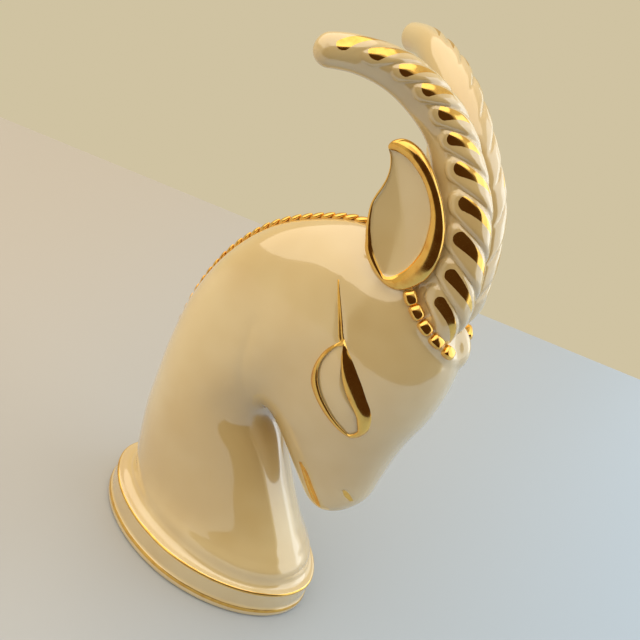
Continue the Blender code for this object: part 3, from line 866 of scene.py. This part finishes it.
# Face painting: tapered gold lustre strokes at the brow, the mouth and the nostril, brushed
# over the glaze into the shallow lines that are pressed into the casting there.
BROW_WIDTHS = (0.9, 1.7, 2.3, 2.8, 3.2)
MOUTH_WIDTHS = (2.2, 4.4, 5.0, 4.8, 2.0)
NOSTRIL_WIDTHS = (1.6, 3.0, 1.6)
# share of the way from the middle of a stroke out to its edge, and how high the gold stands
STROKE_SECTION = ((-1.0, -0.05), (-0.85, 0.07), (-0.4, 0.10), (0.0, 0.11), (0.4, 0.10), (0.85, 0.07),
                  (1.0, -0.05))


def brush_stroke(name, path, widths, side):
    """A tapered brush stroke laid on the head."""
    rows = curve([(*place, width) for place, width in zip(path, widths)], 8)
    run = np.gradient(rows[:, :2], axis=0)
    run /= np.linalg.norm(run, axis=1)[:, None]
    aside = np.column_stack((-run[:, 1], run[:, 0]))
    rings = []
    for across, rise in STROKE_SECTION:
        rings.append(laid(rows[:, :2] + aside * (rows[:, 2:] * across / 2), side, rise))
    points, faces = band(np.array(rings), looped=False)
    add_piece(name, points, faces if side < 0 else faces[:, ::-1], gold_lustre)


for side, name in ((-1, "right"), (1, "left")):
    brush_stroke("brow_" + name, BROW_LINE, BROW_WIDTHS, side)
    brush_stroke("mouth_" + name, MOUTH_LINE, MOUTH_WIDTHS, side)
    brush_stroke("nostril_" + name, NOSTRIL_LINE, NOSTRIL_WIDTHS, side)

# Bead trim: cushion-shaped beads on the ledge round the foot of the horns, modelled on the
# casting and gilded one by one. The first and last places only give the path its run.
BEAD_PATH = (
    (36.0, 21.6, 212.8),
    (40.0, 22.4, 208.3),
    (45.5, 22.4, 204.0),
    (51.9, 21.3, 199.6),
    (58.7, 18.6, 195.6),
    (64.9, 13.6, 191.6),
    (68.4, 8.2, 187.4),
)
BEAD_RADII = (2.9, 3.6, 2.7)
BEAD_SQUARENESS = 0.62

bead = ellipsoid((0, 0, 0), (1, 1, 1), 0.0, 20, 32, BEAD_SQUARENESS)
beads = []
for side in (-1, 1):
    path = np.array(BEAD_PATH) * (1, side, 1)
    for number in range(1, len(path) - 1):
        centre = path[number]
        along = path[number + 1] - path[number - 1]
        along /= np.linalg.norm(along)
        place, outward, face, gap = body_tree.find_nearest(Vector(centre))
        outward = np.array(outward)
        outward -= along * (outward @ along)
        outward /= np.linalg.norm(outward)
        across = np.cross(along, outward)
        beads.append(skin(centre + bead[:, :, :1] * across * BEAD_RADII[0]
                          + bead[:, :, 2:] * along * BEAD_RADII[1]
                          + bead[:, :, 1:2] * outward * BEAD_RADII[2]))
add_piece("bead_trim", *join(beads), gold_lustre)

# Mane: a rope of slanted leaves on the ridge of the nape, modelled on the casting and gilded.
# The leaves are smaller and stand a little further out towards the plinth.
MANE_LEAVES = 23
MANE_FOOT = 112.0
MANE_HEAD = 4.0
MANE_SLANT = 0.30
# half thickness, half breadth and half length of a leaf
LEAF_RADII = (1.5, 2.3, 4.4)
LEAF_BLUNTNESS = 0.25
# size of the leaf at the foot of the mane and how much it gains towards the head
LEAF_SIZE = 0.76
LEAF_GAIN = 0.18
# how far the leaf at the foot stands out and how much of that is lost towards the head
LEAF_STAND = 1.0
LEAF_LOSS = 0.7

crest = neck_rows[:, :2]
travelled = np.concatenate(([0.0], np.cumsum(np.linalg.norm(np.diff(crest, axis=0), axis=1))))
first = np.interp(MANE_FOOT, crest[:, 1], travelled)
last = travelled[np.argmax(crest[:, 0] > MANE_HEAD)]
leaf = ellipsoid((0, 0, 0), (1, 1, 1), 0.0, 18, 20)
blunt = 1.0 - LEAF_BLUNTNESS * leaf[:, :, 2:]
leaves = []
for number in range(MANE_LEAVES):
    share = number / (MANE_LEAVES - 1)
    s = first + (last - first) * share ** 0.93
    x = np.interp(s, travelled, crest[:, 0])
    z = np.interp(s, travelled, crest[:, 1])
    next_x = np.interp(s + 1, travelled, crest[:, 0])
    next_z = np.interp(s + 1, travelled, crest[:, 1])
    ahead = np.array((next_x - x, 0.0, next_z - z))
    ahead /= np.linalg.norm(ahead)
    up = np.array((-ahead[2], 0.0, ahead[0]))
    size = LEAF_SIZE + LEAF_GAIN * share ** 0.7
    along = ahead + up * MANE_SLANT
    along /= np.linalg.norm(along)
    lift = np.array((-along[2], 0.0, along[0]))
    sideways = np.array((0.0, 1.0, 0.0))
    leaves.append(skin(np.array((x, 0.0, z)) + up * (LEAF_STAND - LEAF_LOSS * share)
                       + leaf[:, :, :1] * lift * LEAF_RADII[0] * size * blunt
                       + leaf[:, :, 1:2] * sideways * LEAF_RADII[1] * size * blunt
                       + leaf[:, :, 2:] * along * LEAF_RADII[2] * size))
add_piece("mane", *join(leaves), gold_lustre)

# Camera: a close view of the right side of the head from a little above, rolled so that the
# bust leans to the right in the picture.
CAMERA_DISTANCE = 446.0
CAMERA_TARGET = (2.8, 0.0, 160.0)
CAMERA_AZIMUTH = math.radians(15.0)
CAMERA_ELEVATION = math.radians(29.9)
CAMERA_ROLL = math.radians(27.0)
CAMERA_LENS = 51.75

level_reach = math.cos(CAMERA_ELEVATION)
forward = Vector((-math.sin(CAMERA_AZIMUTH) * level_reach, math.cos(CAMERA_AZIMUTH) * level_reach,
                  -math.sin(CAMERA_ELEVATION)))
spot = Vector(CAMERA_TARGET) - forward * CAMERA_DISTANCE
right = forward.cross(Vector((0, 0, 1))).normalized()
above = right.cross(forward)
right, above = (right * math.cos(CAMERA_ROLL) + above * math.sin(CAMERA_ROLL),
                above * math.cos(CAMERA_ROLL) - right * math.sin(CAMERA_ROLL))
camera_data = bpy.data.cameras.new("camera")
camera_data.sensor_width = 36.0
camera_data.lens = CAMERA_LENS
camera = bpy.data.objects.new("camera", camera_data)
bpy.context.scene.collection.objects.link(camera)
place = Matrix((right, above, -forward)).transposed().to_4x4()
place.translation = spot * 0.001 + Vector((PLINTH_X * 0.001, 0, 0))
camera.matrix_world = place
bpy.context.scene.camera = camera

# Table: a plain satin top whose colour carries painted light: a painted warm tone of the room's
# light to the left and a painted cool tone of the window's light to the right. It ends in a straight
# far edge, behind which the wall shows.
TABLE_FAR_EDGE = ((-333.0, 283.0), (88.0, 485.0))
TABLE_OVERRUN = 3000.0
TABLE_DEPTH = 850.0
# painted light on the table: the tone of the warm room light and the tone of the cool window light
TABLE_PAINTED_ROOM_LIGHT = (0.48, 0.44, 0.395, 1.0)
TABLE_PAINTED_WINDOW_LIGHT = (0.36, 0.46, 0.60, 1.0)

table_finish = Finish("table_top", Roughness=0.40)
spot_on_table = table_finish.node("ShaderNodeTexCoord", {}, (), "Object")
aside = table_finish.node("ShaderNodeSeparateXYZ", {}, (spot_on_table,), "X")
# painted light: across its width the table runs from the painted warm room light to the painted cool
# window light
table_finish.drive(Base_Color=table_finish.mix(aside.between(-0.35, 0.35), TABLE_PAINTED_ROOM_LIGHT, TABLE_PAINTED_WINDOW_LIGHT))
table_data = bpy.data.meshes.new("table")
far_left, far_right = np.array(TABLE_FAR_EDGE)
run = (far_right - far_left) / np.linalg.norm(far_right - far_left)
towards_camera = np.array((run[1], -run[0])) * TABLE_DEPTH
far_left = far_left - run * TABLE_OVERRUN
far_right = far_right + run * TABLE_OVERRUN
corners = [far_left, far_right, far_right + towards_camera, far_left + towards_camera]
table_data.from_pydata([(x * 0.001, y * 0.001, 0.0) for x, y in corners], [], [(3, 2, 1, 0)])
table_data.materials.append(table_finish.material)
table = bpy.data.objects.new("table", table_data)
bpy.context.scene.collection.objects.link(table)

# Room: a warm pale wall and a paler ceiling, with a dim side towards the camera. Soft window
# light comes from the right and warm light from above.
WALL_GLOW = (0.63, 0.545, 0.36, 1.0)
CEILING_GLOW = (0.74, 0.68, 0.56, 1.0)
DIM_SIDE = (0.07, 0.035, 0.014, 1.0)

world = bpy.data.worlds.new("room")
world.use_nodes = True
background = world.node_tree.nodes["Background"]
room = Finish("room_light")
room.tree = world.node_tree
towards = room.node("ShaderNodeTexCoord", {}, (), "Generated")
aside = room.node("ShaderNodeSeparateXYZ", {}, (towards,), "X")
depth = room.node("ShaderNodeSeparateXYZ", {}, (towards,), "Y")
level = room.node("ShaderNodeSeparateXYZ", {}, (towards,), "Z")
pale = room.mix(level.between(0.30, 0.70), WALL_GLOW, CEILING_GLOW)
lit = depth.between(-0.16, -0.06) + level.between(0.56, 0.66) + (0.0 - aside).between(0.16, 0.26)
glow = room.mix(lit.clipped(), DIM_SIDE, pale)
world.node_tree.links.new(glow.socket, background.inputs["Color"])
background.inputs["Strength"].default_value = 1.0
bpy.data.materials.remove(room.material)
bpy.context.scene.world = world


def lamp(name, place, target, size, power, colour):
    """A soft rectangular lamp aimed at a place."""
    data = bpy.data.lights.new(name, "AREA")
    data.shape = "RECTANGLE"
    data.size, data.size_y = size
    data.energy = power
    data.color = colour
    item = bpy.data.objects.new(name, data)
    bpy.context.scene.collection.objects.link(item)
    item.location = place
    item.rotation_euler = (Vector(target) - Vector(place)).to_track_quat("-Z", "Y").to_euler()


lamp("window", (1.10, 0.50, 0.60), (0.0, 0.0, 0.12), (1.4, 1.6), 7.5, (0.78, 0.90, 1.0))
lamp("far_window", (0.95, 1.35, 0.62), (0.0, 0.0, 0.10), (1.7, 1.1), 5.5, (0.80, 0.91, 1.0))
lamp("ceiling_lamp", (-0.55, -0.50, 1.35), (0.0, 0.0, 0.12), (3.3, 3.3), 38.0, (1.0, 0.88, 0.70))

bpy.context.scene.view_settings.view_transform = "Standard"
